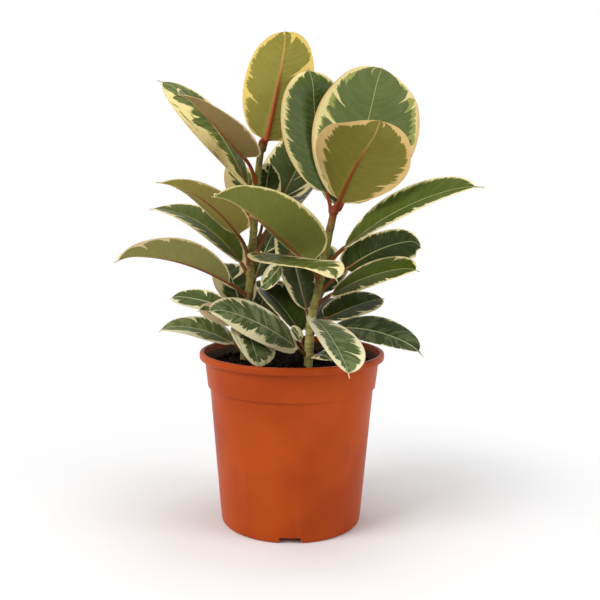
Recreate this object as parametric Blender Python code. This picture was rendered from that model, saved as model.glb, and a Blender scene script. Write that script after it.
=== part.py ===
"""Potted rubber plant: a two-stemmed variegated rubber plant in a plastic nursery pot.

Metres, +Z up. The origin is on the pot's axis, at the level that the pot stands on.
-Y is the front. Leaf sizes below are in millimetres and degrees.
"""
import math

import bmesh
import bpy
import numpy as np

MM = 0.001
GAP = 0.3                # clearance between touching pieces, mm

# nursery pot, mm
POT_HEIGHT = 160.0
LIP_RADIUS = 85.0
LIP_HEIGHT = 6.6
MOUTH_RADIUS = 81.0
COLLAR_TOP_RADIUS = 80.2
COLLAR_BOTTOM_RADIUS = 77.4
COLLAR_BOTTOM = 128.6
COLLAR_STEP = 1.9
FOOT_RADIUS = 65.0
FOOT_ROUND = 3.0
WALL = 1.5
BASE_UNDERSIDE = 6.0
CENTRE_FOOT_RADIUS = 12.0
POT_SIDES = 64
NOTCH_COUNT = 4
NOTCH_WIDTHS = (21.0, 18.0)      # at the floor, at its top
NOTCH_HEIGHT = 5.6
DRAIN_COUNT = 8
DRAIN_RADIUS = 4.0
DRAIN_CIRCLE = 40.0

# soil, mm
SOIL_TOP = 147.0
SOIL_RINGS = 7
SOIL_SIDES = 40
SOIL_WAVE = 1.3
SOIL_RISE = 1.5          # from the pot's wall to the middle
SOIL_CLEAR = 0.6         # kept from the wall by the soil's upper edge

# stems: points (x, y, z), mm, from the planted end up
STEMS = {
    "left": {
        "path": [(-45, 10, 112), (-44, 10, 158), (-40, 12, 219), (-37, 12, 260),
                 (-34, 12, 300), (-32, 12, 325), (-29, 12, 350)],
        "radii": (4.5, 3.0),
    },
    "right": {
        "path": [(13, -20, 112), (15, -18, 150), (17, -16, 189), (22, -12, 210),
                 (28, -6, 240), (33, -1, 268), (38, 2, 291)],
        "radii": (4.2, 3.5),
    },
}
STEM_SIDES = 12
STEM_RINGS = 16
BUD_LENGTH = 4.0
BUD_SHAPE = ((0.35, 0.85), (0.75, 0.5), (1.0, 0.15))   # share of its length, share of the stem's radius

# One row for each leaf. Lengths are in mm and angles in degrees:
# height on its stem, heading (0 is +X, 90 is +Y), stalk length, stalk climb,
# blade length, blade width, climb at the blade's base, droop along it, roll, roll added by the tip,
# fold of the left and the right half, flattening of the fold towards the margin,
# shift of the widest point (above 1 is towards the tip), sideways sway, extra bend of the last fifth,
# bluntness of the ends (smaller is blunter), length of the drip tip
FIELDS = ("height", "heading", "stalk", "climb", "length", "width", "rise", "droop", "roll", "twist",
          "fold_left", "fold_right", "flatten", "belly", "sway", "curl", "blunt", "tip")
LEAVES = {
    "left": [
        (344, 54.7, 8, 52, 105.6, 63.9, 69.9, -12, -132.9, -3.8, 6, 6, 6, 1.12, -19.1, -10, 0.39, 0.8),
        (314, -123.6, 27, 70, 100, 68.1, 34.2, 8.2, -21.4, 0, 19, 19, 10, 0.73, 0, 20, 0.55, 3),
        (300, 168.8, 10, 60, 134.5, 57, 67.5, 39.5, -11.9, -15, -7, -3, 5, 1.12, 0, 9.9, 0.60, 6),
        (252, 45.1, 57, 50, 87.3, 75.3, 58.3, 0, 17.3, 0, 19, 18, 10, 1.02, -34, 20, 0.36, 4),
        (270, 113, 12, 60, 72, 36, 54, 10, 0, 0, 15, 15, 10, 1.00, 0, 20, 0.50, 3),
        (240, 59.2, 50, 52, 70.1, 36, 40.5, 6, 10, 0, 10, 10, 10, 1.00, -60, 20, 0.50, 3),
        (259, 30, 22, 62, 54, 28, 84, 4, 64, 0, 12, 12, 10, 1.00, 0, 20, 0.50, 2.5),
        (240, -129, 30, 80, 110, 43, 44, 41.1, 13, 0, 14, 24, 5, 0.63, 0, 0.6, 0.48, 7),
        (230, 151.2, 10, 60, 124, 60.8, 48.6, 53.4, -9.2, 0, 20, 15, 15, 1.17, 0, -2.2, 0.60, 6),
        (214, 66, 12, 50, 64, 40, 55, 20, 0, 0, 12, 12, 10, 1.00, 0, 20, 0.50, 2),
        (242, -70, 16, 80, 130, 56, -6.8, -10.6, 4.5, 8.3, 3, 17.5, 9.4, 1.38, 30.5, 56, 0.47, 5),
        (210, -147, 20, 40, 116, 53.5, 29.7, 34.5, 17.8, 0, 30, 30, 5, 1.15, 0, 20, 0.60, 5),
        (188, 146, 22, 28, 74, 27.5, 11.8, 15.9, -33.2, 0, 10, 10, 10, 1.00, 0, 20, 0.55, 3.5),
        (182, 116, 16, 60, 62, 44, 50, 14, 0, 0, 15, 15, 10, 1.00, 0, 20, 0.55, 3),
        (182, -85, 30, 4, 58, 44, -1, 60, -22, 0, 12, 12, 10, 1.30, 24, 10, 0.55, 2),
        (178, 186, 8, 40, 38, 30, 36, 34, -30, 0, 10, 10, 10, 1.00, 0, 20, 0.50, 2),
        (163, -122, 8, 60, 30, 13, 68, 10, 0, 0, 15, 15, 10, 1.00, 0, 0, 0.50, 2),
        (158, 170, 8, 45, 78, 42.8, 29.4, 44.5, -15.9, 0, 12, 12, 10, 1.00, 0, 20, 0.55, 3.5),
        (164, 70, 10, 50, 76, 60, 46, 12, 0, 0, 12, 12, 10, 1.00, 0, 20, 0.55, 3),
    ],
    "right": [
        (288, -65, 10, 60, 91, 83, 50, 9, -56, 34, 0, 0, 10, 1.57, 12, -29, 0.50, 0.8),
        (290, 0, 6, 46, 126, 95, 71, -10, 84, 0, 5, 5, 8, 1.15, 0, 10, 0.51, 1.5),
        (288, 140, 16, 79, 117, 76, 72, -18, -9, 0, 5, 6, 10, 1.05, -14, 30, 0.50, 1.5),
        (240, -24, 22, 50, 137.3, 54.8, 40.2, 33.1, 29.8, 0, 17, 15, 10, 0.98, 3.9, 11.2, 0.64, 8),
        (228, -137.6, 16, 60, 125.1, 71, 39.6, 18, 14.4, 0, 38, 38, 10, 0.67, 0, 20, 0.59, 4),
        (226, 90, 14, 60, 36, 34, 42, 20, 0, 0, 12, 12, 10, 1.00, 0, 20, 0.50, 1.5),
        (234, 162, 49, 73, 32, 22, -55, -20, -62, 0, 10, 10, 10, 1.00, -8, 0, 0.50, 1.5),
        (218, 23, 28, 40, 86, 50, 34, 35, 36, 0, 0, 0, 10, 1.00, -6, 50, 0.37, 2),
        (206, -30.3, 14, 40, 90, 46.2, 31.4, 27.8, 30.2, 0, 10, 10, 10, 1.06, 0, 19.1, 0.55, 4),
        (204, 55, 12, 50, 44, 30, 45, 20, 0, 0, 12, 12, 10, 1.00, 0, 20, 0.50, 2),
        (192, -76, 6, 30, 104, 47, -3, 34, -16, 0, 20, 20, 10, 1.40, 5, 10, 0.48, 5),
        (188, 113, 12, 60, 100, 36, 56, 8, 0, 0, 12, 12, 10, 1.00, 0, 20, 0.50, 4.5),
        (186.5, 23.8, 10, 28, 65, 43.5, 21, 11.1, 18.8, 0, 12, 12, 10, 1.00, 0, 10, 0.50, 3),
        (180, -30.7, 18, 25, 93.5, 38, 8.6, 38.9, 23, 0, 12, 10, 10, 0.97, 0, 16.9, 0.55, 7),
        (168, 132, 12, 55, 72, 50, 44, 24, 0, 0, 26, 30, 10, 1.00, 0, 20, 0.50, 3),
        (165, 178, 6, 50, 18, 11, 70, 30, -60, 0, 10, 10, 10, 1.00, 0, 20, 0.50, 1),
        (160, -156, 8, 40, 95, 49, 39, 28, -40, 0, 6, 6, 10, 0.90, 0, 20, 0.66, 1.5),
        (158, -60, 6, 20, 30, 20, 20, 40, 20, 0, 10, 10, 10, 1.00, 0, 20, 0.50, 1.5),
        (274, 72, 24, 62, 96, 46, 44, 26, 0, 0, 12, 12, 10, 1.00, 0, 20, 0.55, 4.5),
        (172, 78, 8, 40, 78, 42, 32, 26, 0, 0, 12, 12, 10, 1.00, 0, 20, 0.55, 3),
    ],
}
TIP_WIDTH = 0.16         # half width of the drip tip, as a share of the blade's
STALK_RADIUS = (1.1, 0.0055)     # at zero blade length, and added for each mm of it
STALK_RINGS = 3
BLADE_RINGS = 11
ACROSS = (-1.0, -0.55, 0.0, 0.55, 1.0)
BLADE_THICKNESS = 0.6
RIB_THICKNESS = 0.9
MARGIN_FADE = 0.35       # the margin's thickness, as a share of the blade's
RIB_REACH = 0.25         # how far the midrib's bulge spreads, as a share of the half width
RIB_TAPER = 0.6          # share of the midrib's thickness that is lost by the tip
NARROWEST = 0.2          # half width of the blade's very end, mm

COLOURS = {
    "terracotta_plastic": ((0.46, 0.10, 0.025, 1), 0.42),
    "potting_soil": ((0.018, 0.012, 0.008, 1), 0.95),
    "green_stem": ((0.16, 0.15, 0.03, 1), 0.55),
    "leaf": ((0.09, 0.17, 0.05, 1), 0.35),
}


def clear_scene():
    for item in list(bpy.data.objects):
        bpy.data.objects.remove(item, do_unlink=True)


def material(name, slot):
    colour, roughness = COLOURS[slot]
    made = bpy.data.materials.new(name)
    made.use_nodes = True
    shader = made.node_tree.nodes["Principled BSDF"]
    shader.inputs["Base Color"].default_value = colour
    shader.inputs["Roughness"].default_value = roughness
    shader.inputs["Metallic"].default_value = 0.0
    return made


def mesh_object(name, points, faces, slot):
    """A closed mesh object from points in mm, with its faces turned outward."""
    mesh = bpy.data.meshes.new(name)
    mesh.from_pydata((np.asarray(points) * MM).tolist(), [], faces)
    shape = bmesh.new()
    shape.from_mesh(mesh)
    bmesh.ops.recalc_face_normals(shape, faces=shape.faces)
    shape.to_mesh(mesh)
    shape.free()
    made = bpy.data.objects.new(name, mesh)
    bpy.context.collection.objects.link(made)
    mesh.materials.append(material(name, slot))
    return made


def tube_faces(rings, sides):
    """Quads between rings of points, with one closing face at each end."""
    faces = []
    for ring in range(rings - 1):
        for side in range(sides):
            after = (side + 1) % sides
            low, high = ring * sides, (ring + 1) * sides
            faces.append((low + side, low + after, high + after, high + side))
    faces.append(tuple(reversed(range(sides))))
    faces.append(tuple((rings - 1) * sides + side for side in range(sides)))
    return faces


def arc(radius, height, size, start, end, steps):
    """Points (radius, height) on a round edge, by angle in degrees."""
    angles = np.radians(np.linspace(start, end, steps))
    return [(radius + size * math.cos(a), height + size * math.sin(a)) for a in angles]


def revolve(name, profile, sides, slot):
    """A body turned about Z from a closed outline whose first and last points are on the axis."""
    outline = [point for point in profile if point[0] > 0]
    turns = np.linspace(0, 2 * math.pi, sides, endpoint=False)
    points = [(r * math.cos(a), r * math.sin(a), z) for r, z in outline for a in turns]
    faces = tube_faces(len(outline), sides)[:-2]
    for (_, z), ring in ((profile[0], 0), (profile[-1], len(outline) - 1)):
        points.append((0, 0, z))
        pole = len(points) - 1
        faces += [(pole, ring * sides + i, ring * sides + (i + 1) % sides) for i in range(sides)]
    return mesh_object(name, points, faces, slot)


# nursery pot

def wall_radius(z):
    """Outside radius of the tapered wall below the collar."""
    top = COLLAR_BOTTOM_RADIUS - COLLAR_STEP
    return FOOT_RADIUS + (top - FOOT_RADIUS) * z / COLLAR_BOTTOM


def pot_profile():
    lip_bottom = POT_HEIGHT - LIP_HEIGHT
    floor = BASE_UNDERSIDE + WALL
    outer = [(FOOT_RADIUS - FOOT_ROUND - 1.0, 0.0)]
    outer += arc(FOOT_RADIUS - FOOT_ROUND, FOOT_ROUND, FOOT_ROUND, -90, 0, 4)
    outer += [(wall_radius(COLLAR_BOTTOM), COLLAR_BOTTOM - 1.0),
              (COLLAR_BOTTOM_RADIUS - 0.4, COLLAR_BOTTOM - 0.4),
              (COLLAR_BOTTOM_RADIUS, COLLAR_BOTTOM + 0.4),
              (COLLAR_TOP_RADIUS, lip_bottom - 0.3)]
    outer += arc(LIP_RADIUS - 1.4, lip_bottom + 1.4, 1.4, -90, 0, 3)
    outer += arc(LIP_RADIUS - 2.2, POT_HEIGHT - 1.8, 1.8, 10, 90, 4)
    inner = [(MOUTH_RADIUS, POT_HEIGHT - 0.8),
             (COLLAR_TOP_RADIUS - WALL, lip_bottom - 1.5),
             (COLLAR_BOTTOM_RADIUS - WALL, COLLAR_BOTTOM + 1.6),
             (wall_radius(COLLAR_BOTTOM) - WALL, COLLAR_BOTTOM - 2.0),
             (wall_radius(floor) - WALL, floor + 2.5),
             (wall_radius(floor) - WALL - 2.5, floor)]
    under = [(CENTRE_FOOT_RADIUS, 0.0),
             (CENTRE_FOOT_RADIUS + 1.0, BASE_UNDERSIDE),
             (FOOT_RADIUS - 5.0, BASE_UNDERSIDE)]
    return [(0, 0)] + under + outer + inner + [(0, floor)]


def hide_tool(tool):
    """A cutting shape is left out of the render."""
    tool.hide_render = True
    tool.display_type = "WIRE"


def cutter(name, points, sides):
    made = mesh_object(name, points, tube_faces(2, sides), "terracotta_plastic")
    hide_tool(made)
    return made


def pot_cutters():
    cutters = []
    for index in range(NOTCH_COUNT):
        angle = 2 * math.pi * index / NOTCH_COUNT - math.pi / 2
        out = np.array([math.cos(angle), math.sin(angle), 0])
        side = np.array([-math.sin(angle), math.cos(angle), 0])
        up = np.array([0, 0, 1.0])
        low, high = NOTCH_WIDTHS
        slope = (low - high) / (2 * NOTCH_HEIGHT)
        corners = [(-low / 2 - slope, -1.0), (low / 2 + slope, -1.0),
                   (high / 2, NOTCH_HEIGHT), (-high / 2, NOTCH_HEIGHT)]
        points = [out * reach + side * x + up * z
                  for reach in (FOOT_RADIUS - 8.0, FOOT_RADIUS + 5.0) for x, z in corners]
        cutters.append(cutter(f"notch_cutter_{index + 1}", points, 4))
    for index in range(DRAIN_COUNT):
        angle = 2 * math.pi * (index + 0.5) / DRAIN_COUNT
        x, y = DRAIN_CIRCLE * math.cos(angle), DRAIN_CIRCLE * math.sin(angle)
        turns = np.linspace(0, 2 * math.pi, 16, endpoint=False)
        points = [(x + DRAIN_RADIUS * math.cos(a), y + DRAIN_RADIUS * math.sin(a), z)
                  for z in (BASE_UNDERSIDE - 2.0, BASE_UNDERSIDE + WALL + 2.0) for a in turns]
        cutters.append(cutter(f"drain_cutter_{index + 1}", points, 16))
    return cutters


def cut(target, tools):
    for tool in tools:
        change = target.modifiers.new(tool.name, "BOOLEAN")
        change.operation = "DIFFERENCE"
        change.solver = "EXACT"
        change.object = tool


def nursery_pot():
    pot = revolve("nursery_pot", pot_profile(), POT_SIDES, "terracotta_plastic")
    cut(pot, pot_cutters())
    return pot


# stems

def curve(points, where):
    """Catmull-Rom curve through points: where runs from 0 to the last point's number."""
    points = np.asarray(points, float)
    count = len(points)
    where = np.atleast_1d(np.asarray(where, float))
    start = np.clip(where.astype(int), 0, count - 2)
    part = (where - start)[:, None]
    padded = np.vstack([2 * points[0] - points[1], points, 2 * points[-1] - points[-2]])
    a, b, c, d = (padded[start + step] for step in range(4))
    return 0.5 * (2 * b + (c - a) * part + (2 * a - 5 * b + 4 * c - d) * part ** 2
                  + (3 * b - a - 3 * c + d) * part ** 3)


def stem_line(stem, count):
    """Points up the stem's centre line, and the stem's radius at each of them."""
    points = curve(stem["path"], np.linspace(0, len(stem["path"]) - 1, count))
    low, high = stem["radii"]
    share = (points[:, 2] - points[0, 2]) / (points[-1, 2] - points[0, 2])
    return points, low + (high - low) * share


def stem_at(stem, height):
    """Centre, radius and direction of the stem at a height."""
    points, radii = stem_line(stem, 200)
    low, centre, high = (np.array([np.interp(height + step, points[:, 2], points[:, axis])
                                   for axis in range(3)]) for step in (-2, 0, 2))
    way = (high - low) / np.linalg.norm(high - low)
    return centre, float(np.interp(height, points[:, 2], radii)), way


def stem_tube(name, stem, extra, slot, bud=0.0):
    """A tube along the stem, wider by extra, with a tapered bud on top."""
    points, radii = stem_line(stem, STEM_RINGS)
    radii = radii + extra
    if bud:
        lean = points[-1] - points[-2]
        lean /= np.linalg.norm(lean)
        for reach, share in BUD_SHAPE:
            points = np.vstack([points, points[STEM_RINGS - 1] + lean * bud * reach])
            radii = np.append(radii, stem["radii"][1] * share)
    turns = np.linspace(0, 2 * math.pi, STEM_SIDES, endpoint=False)
    ring = np.stack([np.cos(turns), np.sin(turns), 0 * turns], 1)
    cloud = (points[:, None, :] + radii[:, None, None] * ring[None]).reshape(-1, 3)
    return mesh_object(name, cloud, tube_faces(len(points), STEM_SIDES), slot)


def stems():
    for side, stem in STEMS.items():
        stem_tube(f"{side}_stem", stem, 0.0, "green_stem", bud=BUD_LENGTH)


# soil

def soil_height(x, y):
    """Height of the soil: two crossed waves and a slight rise to the middle."""
    wave = math.sin(x / 9.0 + 0.6) * math.cos(y / 11.0) + 0.5 * math.sin((x + y) / 6.0)
    return SOIL_TOP + SOIL_WAVE * wave + SOIL_RISE * (1 - (x * x + y * y) / COLLAR_TOP_RADIUS ** 2)


def soil():
    floor = BASE_UNDERSIDE + WALL + GAP
    wall = wall_radius(floor) - WALL - GAP
    step_radius = wall_radius(COLLAR_BOTTOM) - WALL - GAP
    collar_height = POT_HEIGHT - LIP_HEIGHT - COLLAR_BOTTOM
    rim = COLLAR_BOTTOM_RADIUS - WALL - GAP - SOIL_CLEAR
    rim += (SOIL_TOP - COLLAR_BOTTOM) * (COLLAR_TOP_RADIUS - COLLAR_BOTTOM_RADIUS) / collar_height
    side = [(wall - 3.0, floor), (wall - 0.4, floor + 3.0), (step_radius - 0.5, COLLAR_BOTTOM - 3.0),
            (rim - 1.6, COLLAR_BOTTOM + 3.0)]
    turns = np.linspace(0, 2 * math.pi, SOIL_SIDES, endpoint=False)
    points = [(r * math.cos(a), r * math.sin(a), z) for r, z in side for a in turns]
    for ring in range(SOIL_RINGS):
        r = rim * (1 - ring / SOIL_RINGS) - 0.5
        for a in turns:
            x, y = r * math.cos(a), r * math.sin(a)
            points.append((x, y, soil_height(x, y) - (SOIL_RISE if ring == 0 else 0.0)))
    made = mesh_object("potting_soil", points,
                       tube_faces(len(side) + SOIL_RINGS, SOIL_SIDES), "potting_soil")
    sockets = [stem_tube(f"{name}_socket", stem, GAP, "potting_soil") for name, stem in STEMS.items()]
    for socket in sockets:
        hide_tool(socket)
        for point in socket.data.vertices[:STEM_SIDES]:
            point.co.z -= GAP * MM
    cut(made, sockets)
    return made


# leaves

def ease(start, end, value):
    share = np.clip((value - start) / (end - start), 0, 1)
    return share * share * (3 - 2 * share)


def direction(climb, heading):
    climb, heading = np.radians(climb), np.radians(heading)
    return np.stack([np.cos(climb) * np.cos(heading), np.cos(climb) * np.sin(heading),
                     np.sin(climb) + 0 * heading], -1)


def walk(headings, length):
    """Running sum of unit steps: a line of this length that follows the headings."""
    steps = (headings[1:] + headings[:-1]) / 2
    steps *= length / len(steps) / np.linalg.norm(steps, axis=1, keepdims=True)
    return np.vstack([np.zeros(3), np.cumsum(steps, 0)])


def half_width(leaf, along):
    """Half of the blade's width from base to tip: an ellipse-like body with a narrow drip tip."""
    body = np.clip(along / (1 - leaf["tip"] / leaf["length"]), 0, 1) ** leaf["belly"]
    body = np.clip(4 * body * (1 - body), 0, 1) ** leaf["blunt"]
    drip = np.where(along > 0.7, TIP_WIDTH * (np.clip(1 - along, 0, 1) / TIP_WIDTH) ** 1.4, 0)
    return leaf["width"] / 2 * (body ** 4 + np.minimum(drip, TIP_WIDTH) ** 4) ** 0.25


def leaf_lines(leaf, stem, along):
    """Stalk points and directions, then for each place along the blade its midrib point,
    sideways direction and upward direction."""
    centre, radius, _ = stem_at(stem, leaf["height"])
    share = np.linspace(0, 1, 41)
    stalk_climb = leaf["climb"] + (leaf["rise"] - leaf["climb"]) * ease(0, 1, share)
    stalk_way = direction(stalk_climb, np.full(41, float(leaf["heading"])))
    outward = direction(0.0, np.array([float(leaf["heading"])]))[0]
    stalk = centre + outward * (radius + GAP) + walk(stalk_way, leaf["stalk"])
    fine = np.linspace(0, 1, 401)
    climb = leaf["rise"] - leaf["droop"] * fine ** 1.2 - leaf["curl"] * ease(0.78, 1, fine)
    heading = leaf["heading"] + leaf["sway"] * fine
    rib = stalk[-1] + walk(direction(climb, heading), leaf["length"])
    point = np.stack([np.interp(along, fine, rib[:, axis]) for axis in range(3)], -1)
    climb, heading = np.interp(along, fine, climb), np.interp(along, fine, heading)
    way = direction(climb, heading)
    side = direction(0 * heading, heading + 90)
    up = np.cross(way, side)
    roll = np.radians(leaf["roll"] + leaf["twist"] * along)[:, None]
    side, up = side * np.cos(roll) + up * np.sin(roll), up * np.cos(roll) - side * np.sin(roll)
    return stalk, stalk_way, point, side, up


def blade_section(leaf, across):
    """Outward and upward reach of the blade at each place across it, for a half width of 1."""
    flatten = math.radians(leaf["flatten"]) + 1e-6
    fold = np.radians(np.where(across > 0, leaf["fold_left"], leaf["fold_right"]))
    bend = fold - flatten * np.abs(across)
    out = np.sign(across) * (np.sin(fold) - np.sin(bend)) / flatten
    lift = (np.cos(bend) - np.cos(fold)) / flatten
    return out, lift


def leaf_points(leaf, stem):
    """Rings of points: round ones up the stalk, then flat ones along the blade."""
    across = np.array(ACROSS)
    count = len(across)
    along = 1 - (1 - np.linspace(0.035, 1, BLADE_RINGS)) ** 1.15
    stalk, stalk_way, point, side, up = leaf_lines(leaf, stem, along)
    stalk_radius = STALK_RADIUS[0] + STALK_RADIUS[1] * leaf["length"]
    turns = np.pi * (1 - (np.arange(2 * count) + 0.5) / count) + math.radians(leaf["roll"])
    stem_way = stem_at(stem, leaf["height"])[2]
    sideways = direction(np.zeros(1), np.array([leaf["heading"] + 90.0]))[0]
    rings = []
    for place in np.linspace(0, 0.75, STALK_RINGS):
        index = int(round(place * 40))
        above = np.cross(stalk_way[index], sideways)
        if place == 0:
            across_stalk = stem_way - stalk_way[0] * (stem_way @ stalk_way[0])
            above = stem_way / np.linalg.norm(across_stalk)
        rings.append(stalk[index] - stalk_radius * (np.cos(turns)[:, None] * -sideways
                                                    - np.sin(turns)[:, None] * above))
    out, lift = blade_section(leaf, across)
    width = np.sqrt(half_width(leaf, along) ** 2 + NARROWEST ** 2)
    rib = RIB_THICKNESS * np.exp(-(across / RIB_REACH) ** 2)
    margin = 1 - (1 - MARGIN_FADE) * np.abs(across) ** 2
    taper = 1 - RIB_TAPER * along
    for index in range(BLADE_RINGS):
        top = (point[index] + width[index] * (out[:, None] * side[index] + lift[:, None] * up[index]))
        depth = BLADE_THICKNESS * margin + rib * taper[index]
        bottom = top - depth[:, None] * up[index]
        rings.append(np.vstack([top, bottom[::-1]]))
    return np.vstack(rings), len(rings), 2 * count


def leaf_faces(rings, sides):
    """The faces of a tube, with each quad cut in two along a diagonal that is the same above and below,
    so that the two sides of a curved blade stay the same distance apart."""
    faces = []
    for low, after, high_after, high in tube_faces(rings, sides)[:-2]:
        if low % sides < sides // 2:
            faces += [(low, after, high_after), (low, high_after, high)]
        else:
            faces += [(low, after, high), (after, high_after, high)]
    return faces + tube_faces(rings, sides)[-2:]


def leaves():
    for side, rows in LEAVES.items():
        for number, row in enumerate(rows, 1):
            leaf = dict(zip(FIELDS, row))
            points, rings, sides = leaf_points(leaf, STEMS[side])
            mesh_object(f"{side}_leaf_{number:02d}", points, leaf_faces(rings, sides), "leaf")


def main():
    clear_scene()
    nursery_pot()
    soil()
    stems()
    leaves()


main()
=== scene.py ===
import math

import bpy
import numpy as np
from mathutils import Euler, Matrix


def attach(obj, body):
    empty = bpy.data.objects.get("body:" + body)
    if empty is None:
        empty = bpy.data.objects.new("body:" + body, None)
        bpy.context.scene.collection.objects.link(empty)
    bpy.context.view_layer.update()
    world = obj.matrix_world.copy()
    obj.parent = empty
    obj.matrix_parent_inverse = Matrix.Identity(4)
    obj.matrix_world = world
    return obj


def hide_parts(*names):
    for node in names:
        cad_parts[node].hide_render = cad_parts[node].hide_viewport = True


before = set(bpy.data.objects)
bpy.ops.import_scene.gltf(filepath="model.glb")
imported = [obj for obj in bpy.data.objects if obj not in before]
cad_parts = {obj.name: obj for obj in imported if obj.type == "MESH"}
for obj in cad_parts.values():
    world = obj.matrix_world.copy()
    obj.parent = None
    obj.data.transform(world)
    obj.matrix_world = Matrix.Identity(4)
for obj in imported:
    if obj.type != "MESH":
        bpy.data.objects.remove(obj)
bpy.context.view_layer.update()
mm = 0.001
print("frame loaded")


# small helpers

def ease(start, end, value):  # smooth step from 0 at start to 1 at end
    share = np.clip((value - start) / (end - start), 0, 1)
    return share * share * (3 - 2 * share)


def direction(climb, heading):  # unit steps from a climb and a heading in degrees
    climb, heading = np.radians(climb), np.radians(heading)
    flat = np.cos(climb)
    return np.stack([flat * np.cos(heading), flat * np.sin(heading), np.sin(climb) + 0 * heading], -1)


def tubeFaces(rings, sides):  # quads between rings of points, and one closing face at each end
    low = np.arange(rings - 1)[:, None] * sides
    side = np.arange(sides)[None]
    after = (side + 1) % sides
    quads = np.stack([low + side, low + after, low + sides + after, low + sides + side], -1)
    last = (rings - 1) * sides
    return quads.reshape(-1, 4).tolist() + [list(range(sides))[::-1], list(range(last, last + sides))]


def newPiece(name, points, faces, material, creaseAngle=50):  # a smooth mesh object from points in mm
    mesh = bpy.data.meshes.new(name)
    mesh.from_pydata((np.asarray(points).reshape(-1, 3) * mm).tolist(), [], faces)
    mesh.update()
    mesh.shade_smooth()
    mesh.set_sharp_from_angle(angle=math.radians(creaseAngle))
    mesh.materials.append(material)
    piece = bpy.data.objects.new(name, mesh)
    bpy.context.collection.objects.link(piece)
    return piece


def addUv(mesh, name, perPoint):  # a UV map from one pair of values for each point
    corner = np.empty(len(mesh.loops), np.int32)
    mesh.loops.foreach_get("vertex_index", corner)
    layer = mesh.uv_layers.new(name=name, do_init=False)
    layer.uv.foreach_set("vector", perPoint[corner].astype(np.float32).ravel())


def standsFor(piece, node):  # the piece replaces this node and rides on the root body
    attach(piece, "root")
    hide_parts(node)


# shader wiring

def addNode(tree, kind, **settings):
    node = tree.nodes.new("ShaderNode" + kind)
    for key, value in settings.items():
        setattr(node, key, value)
    return node


def feed(tree, socket, value):  # a link, or a plain value
    if isinstance(value, bpy.types.NodeSocket):
        tree.links.new(value, socket)
    else:
        socket.default_value = value


def calc(tree, operation, *values):
    node = addNode(tree, "Math", operation=operation)
    for socket, value in zip(node.inputs, values):
        feed(tree, socket, value)
    return node.outputs[0]


def between(tree, value, low, high):  # smooth step from 0 at low to 1 at high
    node = addNode(tree, "MapRange", interpolation_type="SMOOTHSTEP")
    for key, given in (("Value", value), ("From Min", low), ("From Max", high)):
        feed(tree, node.inputs[key], given)
    return node.outputs[0]


def mixColour(tree, amount, first, second):
    node = addNode(tree, "Mix", data_type="RGBA")
    for index, value in ((0, amount), (6, first), (7, second)):
        feed(tree, node.inputs[index], value)
    return node.outputs[2]


def mixNumber(tree, amount, first, second):
    node = addNode(tree, "Mix", data_type="FLOAT")
    for index, value in ((0, amount), (2, first), (3, second)):
        feed(tree, node.inputs[index], value)
    return node.outputs[0]


def vector(tree, x, y, z=0.0):
    node = addNode(tree, "CombineXYZ")
    for socket, value in zip(node.inputs, (x, y, z)):
        feed(tree, socket, value)
    return node.outputs[0]


def noise(tree, place, scale=1.0, detail=2.0, roughness=0.5, dimensions="3D"):
    node = addNode(tree, "TexNoise", noise_dimensions=dimensions)
    feed(tree, node.inputs["W" if dimensions == "1D" else "Vector"], place)
    for key, value in (("Scale", scale), ("Detail", detail), ("Roughness", roughness)):
        feed(tree, node.inputs[key], value)
    return node.outputs[0]


def cells(tree, place):  # distance to the nearest of some points on a line, and its two chance values
    node = addNode(tree, "TexVoronoi", voronoi_dimensions="1D")
    feed(tree, node.inputs["W"], place)
    node.inputs["Scale"].default_value = 1.0
    split = addNode(tree, "SeparateColor")
    tree.links.new(node.outputs["Color"], split.inputs[0])
    return node.outputs["Distance"], split.outputs[0], split.outputs[1]


def parts(tree, socket):
    node = addNode(tree, "SeparateXYZ")
    tree.links.new(socket, node.inputs[0])
    return node.outputs


def newMaterial(name):
    material = bpy.data.materials.new(name)
    material.use_nodes = True
    return material, material.node_tree, material.node_tree.nodes["Principled BSDF"]


def bumped(tree, height, strength, distance):
    node = addNode(tree, "Bump")
    node.inputs["Strength"].default_value = strength
    node.inputs["Distance"].default_value = distance
    feed(tree, node.inputs["Height"], height)
    return node.outputs[0]


# nursery pot

pot = {
    "height": 160.0, "sides": 192,
    "lipRadius": 85.0, "lipHeight": 6.6, "mouthRadius": 81.0,
    "collarTop": 80.2, "collarBottom": 77.4, "collarAt": 128.6, "collarStep": 1.9,
    "footRadius": 65.0, "footRound": 3.0, "wall": 1.5,
    "underside": 6.0, "padRadius": 12.0,
    "notches": 4, "notchWidths": (21.0, 18.0), "notchHeight": 5.6,
    "drains": 8, "drainRadius": 4.0, "drainCircle": 40.0,
    "orange": (0.46, 0.068, 0.006, 1), "orangeDeep": (0.37, 0.050, 0.005, 1),
    # the dark brown after the scuff colour is painted shade for the inside of the collar
    "scuff": (0.56, 0.13, 0.045, 1), "paintedShade": (0.085, 0.045, 0.022, 1),
    "paintedShadeFrom": 8.0,                      # height above the collar's foot where the painted shade on the inner wall begins
    "paintedShadeTop": 157.5, "paintedShadeFade": 4.5,   # its highest full reach, and how far above that it fades out
    "paintedShadeWaver": 8.0,                     # how far its upper edge dips at most
}


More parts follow.
